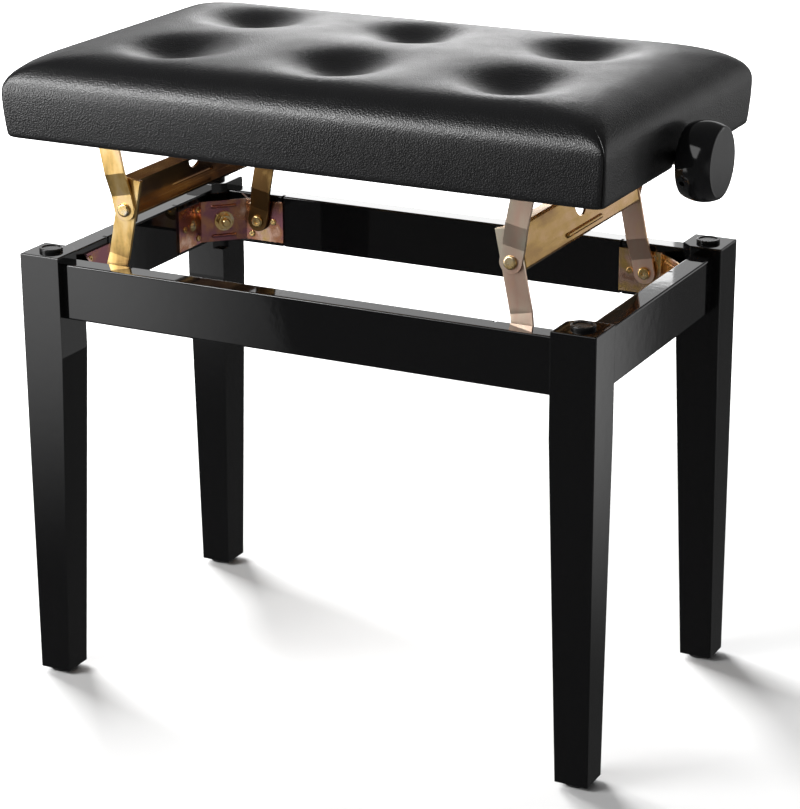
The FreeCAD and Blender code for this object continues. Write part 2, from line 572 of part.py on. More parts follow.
def make_nut_carrier():
    """U-shaped bracket on the crossbar's flange that holds a nut by its trunnions."""
    sheet = CARRIER_SHEET
    inner_y = NUT_WIDTH / 2 + PLATE_GAP
    outer_y = inner_y + sheet
    half = CARRIER_WIDTH / 2
    base_low = ARM_WIDTH / 2 - CROSSBAR_FLANGE
    base_high = ARM_WIDTH / 2 - FLANGE_NOTCH_DEPTH - CARRIER_SETBACK
    base = block((base_low, -outer_y, CROSSBAR_TOP), (base_high, outer_y, CROSSBAR_TOP + sheet))
    ear_low = -NUT_INWARD - half
    ear_high = -NUT_INWARD + half
    ear = joined([block((base_low, inner_y, CROSSBAR_TOP), (base_high, outer_y, CROSSBAR_TOP + sheet)),
                  prism([(base_low, inner_y, CROSSBAR_TOP), (base_high, inner_y, CROSSBAR_TOP),
                         (ear_high, inner_y, NUT_ALONG), (ear_low, inner_y, NUT_ALONG)],
                        (0, sheet, 0)),
                  rod((-NUT_INWARD, inner_y, NUT_ALONG), (-NUT_INWARD, outer_y, NUT_ALONG), half)])
    carrier = joined([base, ear, mirror_y(ear)])
    return on_frame(carrier.cut(pin_hole(-NUT_INWARD, NUT_ALONG, outer_y, 2 * outer_y, TRUNNION_RADIUS)))


def nut_place():
    """Where the right nut's trunnions lie as the bench stands."""
    local = Part.Vertex(Vec(-NUT_INWARD, 0, NUT_ALONG))
    return on_frame(local).Point


def make_lift_nut():
    """Threaded block with a trunnion on each side."""
    centre = nut_place()
    half = Vec(NUT_LENGTH / 2, NUT_WIDTH / 2, NUT_DEPTH / 2)
    body = block(tuple(centre - half), tuple(centre + half))
    body = body.makeFillet(NUT_CORNER, edges_where(body, lambda e: abs(e.CenterOfMass.y) < 0.01))
    reach = Vec(0, NUT_WIDTH / 2 + PLATE_GAP + CARRIER_SHEET + TRUNNION_END, 0)
    nut = joined([body, rod(centre - reach, centre + reach, TRUNNION_RADIUS)])
    along = Vec(NUT_LENGTH, 0, 0)
    return nut.cut(rod(centre - along, centre + along, SPINDLE_RADIUS + NUT_THREAD_GAP))


def make_knee_rivet():
    """Rivet through the crossbar's ear, the lower arm and the upper arm of the right back knee."""
    inner_seat = EAR_Y - CROSSBAR_SHEET
    outer_seat = KNEE_Y + PLATE_GAP
    head = pan_head(Vec(0, outer_seat, ARM_LENGTH), Vec(0, 1, 0), PIN_HEAD_RADIUS, PIN_HEAD_HEIGHT)
    tail = pan_head(Vec(0, inner_seat, ARM_LENGTH), Vec(0, -1, 0), PIN_HEAD_RADIUS, PIN_HEAD_HEIGHT)
    shank = rod((0, inner_seat, ARM_LENGTH), (0, outer_seat, ARM_LENGTH), PIN_RADIUS)
    return on_frame(joined([head, tail, shank]))


def make_upper_arm():
    """Right back upper arm, from the knee up to the seat pivot."""
    half = ARM_WIDTH / 2
    arm = joggled_strip(-half, ARM_LENGTH + half, KNEE_Y, UPPER_Y, True, True)
    arm = arm.cut(pin_hole(0, 0, KNEE_Y, ARM_SHEET, PIN_RADIUS))
    arm = arm.cut(pin_hole(0, ARM_LENGTH, UPPER_Y, ARM_SHEET, PIN_RADIUS))
    return lean_from(arm, KNEE_X, KNEE_Z, REST_LEAN)


# ---- Seat fittings ----
def seat_screw_places():
    """Screws of the right back seat bracket, on the underside of its foot."""
    y = SEAT_EAR_Y + SEAT_PLATE_SHEET + (SEAT_PLATE_FOOT - SEAT_PLATE_SHEET) / 2
    z = BOARD_BOTTOM - SEAT_PLATE_SHEET
    return [Vec(PIVOT_FROM_MIDDLE + dx, y, z) for dx in (-SEAT_SCREW_SPREAD, SEAT_SCREW_SPREAD)]


def board_screw_reach():
    """From under the seat bracket's foot to the screw's tip in the board."""
    return SEAT_PLATE_SHEET + BOARD_THICK - BOARD_SCREW_SHORT


def make_seat_bracket():
    """L-shaped bracket under the seat board whose ear carries the upper arm's top pivot."""
    x = PIVOT_FROM_MIDDLE
    half = SEAT_EAR_WIDTH / 2
    outer_y = SEAT_EAR_Y + SEAT_PLATE_SHEET
    foot = block((x - SEAT_PLATE_LENGTH / 2, SEAT_EAR_Y, BOARD_BOTTOM - SEAT_PLATE_SHEET),
                 (x + SEAT_PLATE_LENGTH / 2, SEAT_EAR_Y + SEAT_PLATE_FOOT, BOARD_BOTTOM))
    ear = prism([(x - SEAT_PLATE_LENGTH / 2, SEAT_EAR_Y, BOARD_BOTTOM),
                 (x + SEAT_PLATE_LENGTH / 2, SEAT_EAR_Y, BOARD_BOTTOM),
                 (x + half, SEAT_EAR_Y, SEAT_PIVOT_Z), (x - half, SEAT_EAR_Y, SEAT_PIVOT_Z)],
                (0, SEAT_PLATE_SHEET, 0))
    tip = rod((x, SEAT_EAR_Y, SEAT_PIVOT_Z), (x, outer_y, SEAT_PIVOT_Z), half)
    tip = tip.common(block((x - half, SEAT_EAR_Y - PAST, SEAT_BOTTOM + EAR_ABOVE_EDGE),
                           (x + half, outer_y + PAST, SEAT_PIVOT_Z + half)))
    bracket = joined([foot, ear, tip])
    bracket = bracket.cut(pin_hole(x, SEAT_PIVOT_Z, outer_y, SEAT_PLATE_SHEET, PIN_RADIUS))
    for point in seat_screw_places():
        bracket = bracket.cut(hole(point, Vec(0, 0, 1), -PAST, SEAT_PLATE_SHEET + PAST, SCREW_RADIUS))
    return bracket


def make_seat_pin():
    """Top pivot: a head inside the arm, its tail riveted over outside the seat bracket's ear."""
    head_seat = UPPER_Y - ARM_SHEET - PLATE_GAP
    tail_seat = SEAT_EAR_Y + SEAT_PLATE_SHEET
    point = Vec(PIVOT_FROM_MIDDLE, 0, SEAT_PIVOT_Z)
    axis = Vec(0, 1, 0)
    head = pan_head(point + axis * head_seat, -axis, PIN_HEAD_RADIUS, PIN_HEAD_HEIGHT)
    tail = pan_head(point + axis * tail_seat, axis, PIN_HEAD_RADIUS, PIN_HEAD_HEIGHT)
    return joined([head, tail, rod(point + axis * head_seat, point + axis * tail_seat, PIN_RADIUS)])


def make_seat_screws():
    screws = []
    for point in seat_screw_places():
        head = pan_head(point, Vec(0, 0, -1), SCREW_HEAD_RADIUS, SCREW_HEAD_HEIGHT)
        shank = rod(point, point + Vec(0, 0, board_screw_reach()), SCREW_RADIUS)
        screws.append(joined([head, shank]))
    return screws


def make_bearing():
    """Plate inside the seat's right side rail in which the spindle's journal turns."""
    low_z = SEAT_BOTTOM + COVER_SHEET + BEARING_ABOVE_HEM
    plate = block((FRAME_INNER_X - BEARING_SHEET, -BEARING_WIDTH / 2, low_z),
                  (FRAME_INNER_X, BEARING_WIDTH / 2, BOARD_BOTTOM))
    corners = edges_where(plate, lambda e: abs(abs(e.CenterOfMass.y) - BEARING_WIDTH / 2) < 0.01
                          and abs(e.CenterOfMass.z - low_z) < 0.01)
    plate = plate.makeFillet(BEARING_CORNER, corners)
    for point in bearing_screw_places():
        plate = plate.cut(hole(point, Vec(1, 0, 0), -PAST, BEARING_SHEET + PAST, SCREW_RADIUS))
    return plate.cut(rod((0, 0, SPINDLE_Z), (SEAT_LENGTH, 0, SPINDLE_Z), JOURNAL_RADIUS + FIT_GAP))


def bearing_screw_places():
    """Screws of the right bearing plate, on its inner face."""
    x = FRAME_INNER_X - BEARING_SHEET
    z = BOARD_BOTTOM - BEARING_SCREW_INSET
    reach = BEARING_WIDTH / 2 - BEARING_SCREW_INSET
    return [Vec(x, y, z) for y in (-reach, reach)]


def make_bearing_screws():
    screws = []
    for point in bearing_screw_places():
        head = pan_head(point, Vec(-1, 0, 0), SCREW_HEAD_RADIUS, SCREW_HEAD_HEIGHT)
        screws.append(joined([head, rod(point, point + Vec(SCREW_LENGTH, 0, 0), SCREW_RADIUS)]))
    return screws


def spindle_notch():
    """Cutter for the opening in the seat's right side: a low notch and a round hole for the shaft."""
    x_low = FRAME_INNER_X - PAST
    x_high = SEAT_LENGTH / 2 + PAST
    top = SEAT_BOTTOM + NOTCH_HEIGHT
    notch = block((x_low, -NOTCH_WIDTH / 2, SEAT_BOTTOM - PAST), (x_high, NOTCH_WIDTH / 2, top))
    corners = edges_where(notch, lambda e: abs(abs(e.CenterOfMass.y) - NOTCH_WIDTH / 2) < 0.01
                          and abs(e.CenterOfMass.z - top) < 0.01)
    notch = notch.makeFillet(NOTCH_CORNER, corners)
    return joined([notch, rod((x_low, 0, SPINDLE_Z), (x_high, 0, SPINDLE_Z), SHAFT_HOLE_RADIUS)])


# ---- Seat ----
def make_seat_wood():
    """Wooden seat box: four rails under a board, drilled for the brackets' screws."""
    notch = spindle_notch()
    back = block((-FRAME_X, FRAME_INNER_Y, FRAME_BOTTOM), (FRAME_X, FRAME_Y, BOARD_BOTTOM))
    right = block((FRAME_INNER_X, -FRAME_INNER_Y, FRAME_BOTTOM), (FRAME_X, FRAME_INNER_Y, BOARD_BOTTOM))
    right = right.cut(notch)
    for point in bearing_screw_places():
        right = right.cut(hole(point, Vec(1, 0, 0), 0, SCREW_LENGTH + PILOT_SPARE, SCREW_RADIUS))
    board = block((-FRAME_X, -FRAME_Y, BOARD_BOTTOM), (FRAME_X, FRAME_Y, BOARD_TOP))
    for point in seat_screw_places():
        pilot = hole(point, Vec(0, 0, 1), 0, board_screw_reach() + PILOT_SPARE, SCREW_RADIUS)
        board = board.cut([at_corner(pilot, side, end) for _, side in SIDES for _, end in ENDS])
    corner = COVER_CORNER - COVER_SHEET - SOFT_GAP
    board = board.makeFillet(corner, edges_where(board, lambda e: is_vertical(e)
                                                 and abs(e.CenterOfMass.x) > FRAME_X - PAST))
    back = back.makeFillet(corner, edges_where(back, lambda e: is_vertical(e)
                                               and e.CenterOfMass.y > FRAME_Y - PAST))
    return {"seat_rail_back": back, "seat_rail_front": mirror_y(back), "seat_rail_right": right,
            "seat_rail_left": mirror_x(right), "seat_board": board}


def rounded_block(inset, bottom):
    """The seat's soft outline, drawn in by the inset and cut off at the bottom."""
    x = SEAT_LENGTH / 2 - inset
    y = SEAT_DEPTH / 2 - inset
    top = SEAT_TOP - inset
    body = block((-x, -y, bottom), (x, y, top))
    body = body.makeFillet(COVER_CORNER - inset, edges_where(body, is_vertical))
    rim = edges_where(body, lambda e: abs(e.CenterOfMass.z - top) < 0.01)
    return body.makeFillet(COVER_SHOULDER - inset, rim)


def make_foam():
    return rounded_block(COVER_SHEET + SOFT_GAP, BOARD_TOP + SOFT_GAP)


def make_cover():
    """Leather cover: a skin over the foam and the sides, with its hem turned under the seat's rails."""
    skin = rounded_block(0.0, SEAT_BOTTOM)
    skin = skin.cut(rounded_block(COVER_SHEET, SEAT_BOTTOM + COVER_SHEET))
    hem_x = SEAT_LENGTH / 2 - COVER_HEM
    hem_y = SEAT_DEPTH / 2 - COVER_HEM
    skin = skin.cut(block((-hem_x, -hem_y, SEAT_BOTTOM - PAST),
                          (hem_x, hem_y, SEAT_BOTTOM + COVER_SHEET + PAST)))
    notch = spindle_notch()
    return skin.cut([notch, mirror_x(notch)])


# ---- Spindle and knobs ----
def make_spindle():
    """Lift spindle: threaded length between two shoulders, and a journal at each end for a knob."""
    shoulder = FRAME_INNER_X - BEARING_SHEET - PLATE_GAP
    journal_end = KNOB_OUTER_X - KNOB_WALL
    return joined([rod((-shoulder, 0, SPINDLE_Z), (shoulder, 0, SPINDLE_Z), SPINDLE_RADIUS),
                   rod((-journal_end, 0, SPINDLE_Z), (journal_end, 0, SPINDLE_Z), JOURNAL_RADIUS)])


def set_screw_axis():
    """Place and direction of the right knob's set screw, which points down to the front."""
    return Vec(KNOB_INNER_X + SET_SCREW_INSET, 0, SPINDLE_Z), Vec(0, -1, -SET_SCREW_SLOPE).normalize()


def make_knob():
    """Right knob: barrel-sided disc with flat faces and a blind bore for the spindle."""
    middle = (KNOB_INNER_X + KNOB_OUTER_X) / 2
    inner_low = Vec(KNOB_INNER_X, 0, 0)
    inner_rim = Vec(KNOB_INNER_X, 0, KNOB_FACE_RADIUS)
    outer_rim = Vec(KNOB_OUTER_X, 0, KNOB_FACE_RADIUS)
    outer_low = Vec(KNOB_OUTER_X, 0, 0)
    barrel = Part.Arc(inner_rim, Vec(middle, 0, KNOB_BELLY_RADIUS), outer_rim).toShape()
    edges = [Part.LineSegment(inner_low, inner_rim).toShape(), barrel,
             Part.LineSegment(outer_rim, outer_low).toShape(),
             Part.LineSegment(outer_low, inner_low).toShape()]
    knob = Part.Face(Part.Wire(edges)).revolve(Vec(0, 0, 0), Vec(1, 0, 0), 360)
    knob.translate(Vec(0, 0, SPINDLE_Z))
    rims = edges_where(knob, lambda e: e.Curve.TypeId == "Part::GeomCircle"
                       and abs(e.Curve.Radius - KNOB_FACE_RADIUS) < 0.01)
    knob = knob.makeFillet(KNOB_EDGE, rims)
    knob = knob.cut(hole(Vec(0, 0, SPINDLE_Z), Vec(1, 0, 0), 0, KNOB_OUTER_X - KNOB_WALL, JOURNAL_RADIUS))
    point, down = set_screw_axis()
    return knob.cut(hole(point, down, 0, KNOB_BELLY_RADIUS + PAST, SET_SCREW_RADIUS))


def make_set_screw():
    point, down = set_screw_axis()
    start = point + down * (JOURNAL_RADIUS + FIT_GAP)
    end = start + down * SET_SCREW_LENGTH
    socket = rod(end - down * SOCKET_DEPTH, end + down, SOCKET_RADIUS)
    return rod(start, end, SET_SCREW_RADIUS).cut(socket)


# ---- Writing the parts ----
def write_base():
    leg = make_leg()
    bracket = make_bracket()
    for end_name, end in ENDS:
        for side_name, side in SIDES:
            corner = end_name + "_" + side_name
            save(at_corner(leg, side, end), "leg_" + corner)
            save(at_corner(bracket, side, end), "corner_bracket_" + corner)
    for node, rail in make_rails().items():
        save(rail, node)
    for node, shape in (("foot_glides", make_glide()), ("leg_bumpers", make_bumper()),
                        ("hanger_bolts", make_hanger_bolt()), ("flange_nuts", make_flange_nut()),
                        ("bracket_studs", make_stud()), ("base_pivot_pins", make_base_pin()),
                        ("bracket_screws", group(make_bracket_screws()))):
        solids = [at_corner(solid, side, end) for solid in shape.Solids
                  for _, side in SIDES for _, end in ENDS]
        save(group(solids), node)


def write_lift():
    for side_name, side in SIDES:
        save(at_corner(make_crossbar(), side, 1), "crossbar_" + side_name)
        save(at_corner(make_nut_carrier(), side, 1), "nut_carrier_" + side_name)
        save(at_corner(make_lift_nut(), side, 1), "lift_nut_" + side_name)
        rivets = [at_corner(make_knee_rivet(), side, end) for _, end in ENDS]
        save(group(rivets), "knee_rivets_" + side_name)
        for end_name, end in ENDS:
            corner = end_name + "_" + side_name
            save(at_corner(make_lower_arm(), side, end), "lower_arm_" + corner)
            save(at_corner(make_upper_arm(), side, end), "upper_arm_" + corner)


def write_seat():
    for node, wood in make_seat_wood().items():
        save(wood, node)
    save(make_foam(), "seat_foam")
    save(make_cover(), "seat_cover")
    for end_name, end in ENDS:
        for side_name, side in SIDES:
            save(at_corner(make_seat_bracket(), side, end), "seat_bracket_" + end_name + "_" + side_name)
    corners = [(side, end) for _, side in SIDES for _, end in ENDS]
    save(group([at_corner(make_seat_pin(), side, end) for side, end in corners]), "seat_pivot_pins")
    save(group([at_corner(screw, side, end) for screw in make_seat_screws() for side, end in corners]),
         "seat_bracket_screws")
    for side_name, side in SIDES:
        save(at_corner(make_bearing(), side, 1), "spindle_bearing_" + side_name)
    save(group([at_corner(screw, side, 1) for screw in make_bearing_screws() for _, side in SIDES]),
         "bearing_screws")


def write_spindle():
    save(make_spindle(), "spindle")
    for side_name, side in SIDES:
        save(at_corner(make_knob(), side, 1), "knob_" + side_name)
    save(group([at_corner(make_set_screw(), side, 1) for _, side in SIDES]), "knob_set_screws")


os.makedirs("parts", exist_ok=True)
write_base()
write_lift()
write_seat()
write_spindle()
print("seat bottom", round(SEAT_BOTTOM, 2), "top", round(SEAT_TOP, 2), "spindle", round(SPINDLE_Z, 2))
print("lowest lean", round(math.degrees(LOW_LEAN), 3), "swing", round(math.degrees(LOW_LEAN - LEAN), 3))
print("nut at rest", nut_place(), "knee", round(KNEE_X, 3), round(KNEE_Z, 3))
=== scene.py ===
import bpy
import json
import math
import numpy as np
from mathutils import Matrix, Vector


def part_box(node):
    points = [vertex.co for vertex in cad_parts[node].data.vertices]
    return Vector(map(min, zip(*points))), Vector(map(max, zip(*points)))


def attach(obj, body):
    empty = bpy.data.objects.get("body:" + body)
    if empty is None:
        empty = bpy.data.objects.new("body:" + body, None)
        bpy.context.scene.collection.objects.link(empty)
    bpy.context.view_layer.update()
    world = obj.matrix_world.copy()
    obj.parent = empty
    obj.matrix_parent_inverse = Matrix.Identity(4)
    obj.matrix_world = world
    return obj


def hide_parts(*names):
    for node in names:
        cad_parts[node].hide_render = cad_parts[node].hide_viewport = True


# Looks of the adjustable piano bench, in metres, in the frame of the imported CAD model.

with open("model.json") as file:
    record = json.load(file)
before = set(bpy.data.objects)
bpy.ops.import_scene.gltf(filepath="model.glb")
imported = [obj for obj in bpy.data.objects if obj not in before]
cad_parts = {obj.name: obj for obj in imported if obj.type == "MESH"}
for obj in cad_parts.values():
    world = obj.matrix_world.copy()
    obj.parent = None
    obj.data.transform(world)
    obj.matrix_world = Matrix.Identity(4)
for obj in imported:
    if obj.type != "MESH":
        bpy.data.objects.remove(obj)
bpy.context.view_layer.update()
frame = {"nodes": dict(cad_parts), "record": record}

SEAT_LOW, SEAT_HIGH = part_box("seat_cover")
SPINDLE_LOW, SPINDLE_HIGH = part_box("spindle")
BEARING_LOW, BEARING_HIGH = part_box("spindle_bearing_right")

# ---- Camera ----
CAMERA_PLACE = Vector((1.0492, -2.0128, 1.0502))
CAMERA_HEADING = math.radians(27.12)     # from +Y towards -X
CAMERA_TILT = math.radians(19.35)        # below the horizontal
CAMERA_ROLL = math.radians(-0.29)
CAMERA_LENS = 118.4                      # mm, on a sensor SENSOR_WIDTH wide
SENSOR_WIDTH = 36

# ---- Cushion ----
CORNER_RADIUS = 0.006
CORNER_SOFTENING = 0.9     # gain of the corner radius with the inset
SIDE_HEIGHT = 0.041        # up to the roll of the shoulder
SIDE_BULGE = 0.002
SHOULDER_WIDTH = 0.046
SHOULDER_RISE = 0.031
SHOULDER_TURNS = (9, 18, 27, 36, 45)     # degrees round the shoulder, up to the edge of the top
CROWN = 0.004
HEM_WIDTH = 0.014
HEM_ROUNDING = 0.003
SKIN = 0.0013
TUFTS_X = (-0.160, 0.0, 0.160)
TUFTS_Y = (-0.070, 0.066)
TUFT_DEPTH = 0.0140
TUFT_RADIUS = 0.071
TUFT_SHARPNESS = 1.4
GRID_STEP = 0.005
SEAM_DEPTH = 0.0020
SEAM_STEPS = (0.0, 0.0009, 0.0022, 0.0045, 0.008, 0.0125)   # grid lines beside a corner seam
PUCKER = 0.0004
PUCKER_LENGTH = 0.009
PUCKER_PLACE = 0.0035      # from the seam
PUCKER_SPREAD = 0.0025
HELD_EDGE = 0.03           # the top is held less and less up to this far from its edge
HELD_BUTTON = 0.75         # and from this closeness to a button's middle, which is 1
CLOTH_STEPS = 20
SWELL_CAP = 0.006
NOTCH_HALF_WIDTH = 0.0175
NOTCH_HEIGHT = 0.0055
SHAFT_HOLE = 0.009
SHAFT_HOLE_STEPS = 24
CUT_BELOW = 0.004          # the cutter goes this far past the underside
CUT_OUTSIDE = 0.01         # and past the side

# ---- Spindle ----
JOURNAL_RADIUS = 0.006
JOURNAL_CHAMFER = 0.0008
SHOULDER_GAP = 0.0003      # from the shoulder to the bearing
THREAD_START = 0.045       # from the middle
THREAD_RUNOUT = 0.010      # from the thread's end to the shoulder
THREAD_LEAD = 0.004
THREAD_DEPTH = 0.0012
THREAD_SIDES = 24
THREAD_ROWS = 4            # along each turn

# ---- Light ----
FLOOR_HALF = 8
FLOOR_TONE = 0.62
FLOOR_GLOW = (0.0, 1.0)               # in the middle, and beyond the bench: painted light, the floor glows for the camera only away from the bench, which lightens the shadows there
FLOOR_GLOW_REACH = (0.4, 1.4)
WORLD_LIGHT = 0.12
ROOM_TONES = (0.08, 0.10)             # in reflections, towards the front and towards the back
BACK_FIELD = 0.9                      # in the tops of the legs, the rails and the seat
LEFT_FIELD = 2.0                      # in the front faces, at the left
LEFT_EDGE = (-1, 0.573, -0.369)       # the left field's straight right edge
LEFT_EDGE_AT = 0.1105
RIGHT_FIELD = 0.7                     # in the right faces, near the front
FAR_RIGHT_FIELD = 0.35                # in the front left leg's right face and the left crossbar
SIDE_FIELD = 0.28                     # in the seat's right side and the knob's face
CORNER_FIELD = 0.2                    # in the back left bracket
# name, place, target, (width, height), radiance, whether reflections show it
LAMPS = (
    ("key", (-7.0, 4.7, 3.2), (0, 0, 0.1), (5.0, 5.0), 45.0, False),
    ("back", (-1.36, 2.89, 1.0), (0, 0, 0.55), (0.98, 0.74), 2.8, True),
    ("window", (-1.33, -3.66, 3.25), (0, 0, 0.55), (3.4, 2.6), 2.3, True),
    ("front", (-1.62, -1.70, 1.97), (0, 0, 0.55), (1.2, 0.9), 13.5, True),
    ("low", (-0.95, -0.85, 0.58), (0, 0, 0.50), (0.5, 0.4), 6.5, True),
)


# ---- Materials ----
def material(name, **constants):
    """New material; the constants are set on its Principled shader's own sockets."""
    mat = bpy.data.materials.new(name)
    mat.use_nodes = True
    shader = mat.node_tree.nodes["Principled BSDF"]
    for socket, value in constants.items():
        shader.inputs[socket.replace("_", " ")].default_value = value
    return mat


def node(mat, kind, links=(), **settings):
    """New shader node. A link is (its input, source socket or constant)."""
    made = mat.node_tree.nodes.new("ShaderNode" + kind)
    for key, value in settings.items():
        setattr(made, key, value)
    for socket, source in links:
        if isinstance(source, bpy.types.NodeSocket):
            mat.node_tree.links.new(source, made.inputs[socket])
        else:
            made.inputs[socket].default_value = source
    return made


def shader_of(mat):
    return mat.node_tree.nodes["Principled BSDF"]


def connect(mat, socket, source):
    mat.node_tree.links.new(source, shader_of(mat).inputs[socket])


def place(mat, scale=(1, 1, 1)):
    """Coordinates fixed to the piece, stretched by the scale."""
    coords = node(mat, "TexCoord")
    mapped = node(mat, "Mapping", [("Vector", coords.outputs["Object"]), ("Scale", scale)])
    return mapped.outputs["Vector"]


def noise(mat, scale, detail=3.0, stretch=(1, 1, 1), roughness=0.5):
    made = node(mat, "TexNoise", [("Vector", place(mat, stretch)), ("Scale", scale),
                                  ("Detail", detail), ("Roughness", roughness)])
    return made.outputs["Fac"]


def ramp(mat, source, stops):
    """Colour ramp through (position, colour) stops."""
    made = node(mat, "ValToRGB", [("Fac", source)])
    band = made.color_ramp
    while len(band.elements) < len(stops):
        band.elements.new(0.5)
    for element, (position, colour) in zip(band.elements, stops):
        element.position = position
        element.color = (*colour, 1) if len(colour) == 3 else colour
    return made.outputs["Color"]


def spread(mat, source, low, high):
    """Maps the middle of a noise onto a range of values."""
    return node(mat, "MapRange", [("Value", source), ("From Min", 0.3), ("From Max", 0.7),
                                  ("To Min", low), ("To Max", high)]).outputs["Result"]


def bump(mat, height, distance, strength=1.0, under=None):
    links = [("Height", height), ("Distance", distance), ("Strength", strength)]
    if under is not None:
        links.append(("Normal", under))
    return node(mat, "Bump", links).outputs["Normal"]


def lacquer():
    """Black gloss lacquer over wood, with a faint orange-peel surface."""
    mat = material("black_lacquer", Base_Color=(0.003, 0.003, 0.0032, 1), Roughness=0.04, IOR=1.5)
    eased = node(mat, "Bevel", [("Radius", 0.0006)], samples=4).outputs["Normal"]
    connect(mat, "Normal", bump(mat, noise(mat, 90, 2), 0.0004, 0.03, eased))
    connect(mat, "Roughness", spread(mat, noise(mat, 14, 4), 0.025, 0.045))
    return mat


def zinc(name, stops, patch=16.0, rough=(0.24, 0.36), grain=(1, 1, 1), edge=0.0005,
         shade_drift=(0, 0, 0)):
    """Yellow passivated zinc: patches of interference colour, faint rolling grain and soft sheen.

    How far the colour moves up the ramp along each direction is painted shade: pieces to the left
    and the back come out darker, standing in for the dim room they mirror.
    """
    mat = material(name, Metallic=1.0, IOR=1.5)
    patches = noise(mat, patch, 5, roughness=0.62)
    streaks = noise(mat, 60, 3, grain)
    mixed = node(mat, "Math", [(0, patches), (1, streaks)], operation="ADD")
    half = node(mat, "Math", [(0, mixed.outputs[0]), (1, 0.5)], operation="MULTIPLY")
    # Painted shade: the place along these directions lowers the colour on the ramp towards the left
    # and the back.
    along = node(mat, "VectorMath", [(0, place(mat)), (1, shade_drift)], operation="DOT_PRODUCT")
    shaded_tone = node(mat, "Math", [(0, along.outputs["Value"]), (1, half.outputs[0])],
                   operation="ADD")
    connect(mat, "Base Color", ramp(mat, shaded_tone.outputs[0], stops))
    connect(mat, "Roughness", spread(mat, noise(mat, 45, 4, grain), *rough))
    eased = node(mat, "Bevel", [("Radius", edge)], samples=4).outputs["Normal"]
    connect(mat, "Normal", bump(mat, noise(mat, 700, 2, grain), 0.00003, 0.35, eased))
    return mat


def leather():
    """Black synthetic leather with a fine pebbled grain."""
    mat = material("black_leather", Base_Color=(0.006, 0.006, 0.0065, 1), Roughness=0.32, IOR=1.55)
    cells = node(mat, "TexVoronoi", [("Vector", place(mat)), ("Scale", 860.0)], feature="SMOOTH_F1")
    grain = bump(mat, cells.outputs["Distance"], 0.0005, 0.55)
    folds = bump(mat, noise(mat, 25, 1), 0.0008, 0.04, grain)
    connect(mat, "Normal", folds)
    connect(mat, "Roughness", spread(mat, noise(mat, 40, 2), 0.29, 0.34))
    return mat


def moulded(name, colour, rough, grain=0.0, edge=0.0004):
    """Moulded plastic or rubber with a slight surface variation."""
    mat = material(name, Base_Color=(*colour, 1), IOR=1.5)
    connect(mat, "Roughness", spread(mat, noise(mat, 60, 4), rough * 0.85, rough * 1.15))
    eased = node(mat, "Bevel", [("Radius", edge)], samples=4).outputs["Normal"]
    connect(mat, "Normal", bump(mat, noise(mat, 900, 2), 0.0001, grain, eased))
    return mat


def plywood():
    """Plain birch plywood of the seat box."""
    mat = material("seat_plywood", Roughness=0.6)
    rings = noise(mat, 9, 5, (0.25, 3, 3), 0.6)
    connect(mat, "Base Color", ramp(mat, rings, [(0.3, (0.30, 0.19, 0.10)),
                                                 (0.5, (0.45, 0.31, 0.18)),
                                                 (0.7, (0.54, 0.39, 0.24))]))
    connect(mat, "Normal", bump(mat, noise(mat, 120, 3, (0.2, 3, 3)), 0.0002, 0.3))
    return mat


GOLD = (0.82, 0.54, 0.19)
PALE_GOLD = (0.93, 0.68, 0.32)
PINK = (0.86, 0.56, 0.43)
COPPER = (0.56, 0.26, 0.14)
PURPLE = (0.38, 0.16, 0.19)
SILVER = (0.88, 0.78, 0.62)

FINISHES = {
    "lacquer": lacquer(),
    "glide_plastic": moulded("glide_plastic", (0.02, 0.02, 0.02), 0.5, 0.3),
    "bumper_rubber": moulded("bumper_rubber", (0.012, 0.012, 0.012), 0.22, 0.1),
    # painted shade: the left bracket slides to purple and copper, the right one to gold
    "bracket_zinc": zinc("bracket_zinc", [(0.38, PURPLE), (0.47, COPPER), (0.54, PINK),
                                          (0.63, GOLD)],
                         22, (0.18, 0.30), shade_drift=(0.3, 0, 0)),
    "fastener_steel": zinc("fastener_zinc", [(0.40, GOLD), (0.52, PALE_GOLD), (0.62, SILVER)], 90,
                           (0.12, 0.22), edge=0.0003),
    "rivet_steel": zinc("rivet_zinc", [(0.40, GOLD), (0.52, PALE_GOLD), (0.62, SILVER)], 90,
                        (0.2, 0.3), edge=0.0003),
    # painted shade: the left crossbar slides to dark brown, the right one to gold
    "crossbar_zinc": zinc("crossbar_zinc", [(0.36, (0.13, 0.06, 0.03)), (0.47, (0.36, 0.20, 0.07)),
                                            (0.57, (0.54, 0.33, 0.10)), (0.80, PINK)],
                          12, (0.16, 0.26), (1, 0.2, 1), shade_drift=(0.4, 0, 0)),
    # painted shade: the back and left arms slide to dark brown, the front right ones to pale gold
    # and pink
    "arm_zinc": zinc("arm_zinc", [(0.29, (0.20, 0.11, 0.04)), (0.40, GOLD), (0.45, PALE_GOLD),
                                  (0.58, PINK), (0.78, SILVER)],
                     14, (0.27, 0.38), (1, 1, 0.25), shade_drift=(0.7, -0.5, 0)),
    "nut_brass": zinc("nut_zinc", [(0.40, (0.55, 0.40, 0.16)), (0.6, GOLD)], 40, (0.3, 0.4)),
    "spindle_steel": zinc("spindle_zinc", [(0.40, (0.6, 0.55, 0.42)), (0.6, SILVER)],
                          50, (0.2, 0.3)),
    "knob_plastic": moulded("knob_plastic", (0.006, 0.006, 0.0065), 0.09, edge=0.0013),
    "seat_wood": plywood(),
    "seat_leather": leather(),
}
FINISHES["foam"] = FINISHES["seat_leather"]


def paint(piece, finish):
    piece.data.materials.clear()
    piece.data.materials.append(finish)


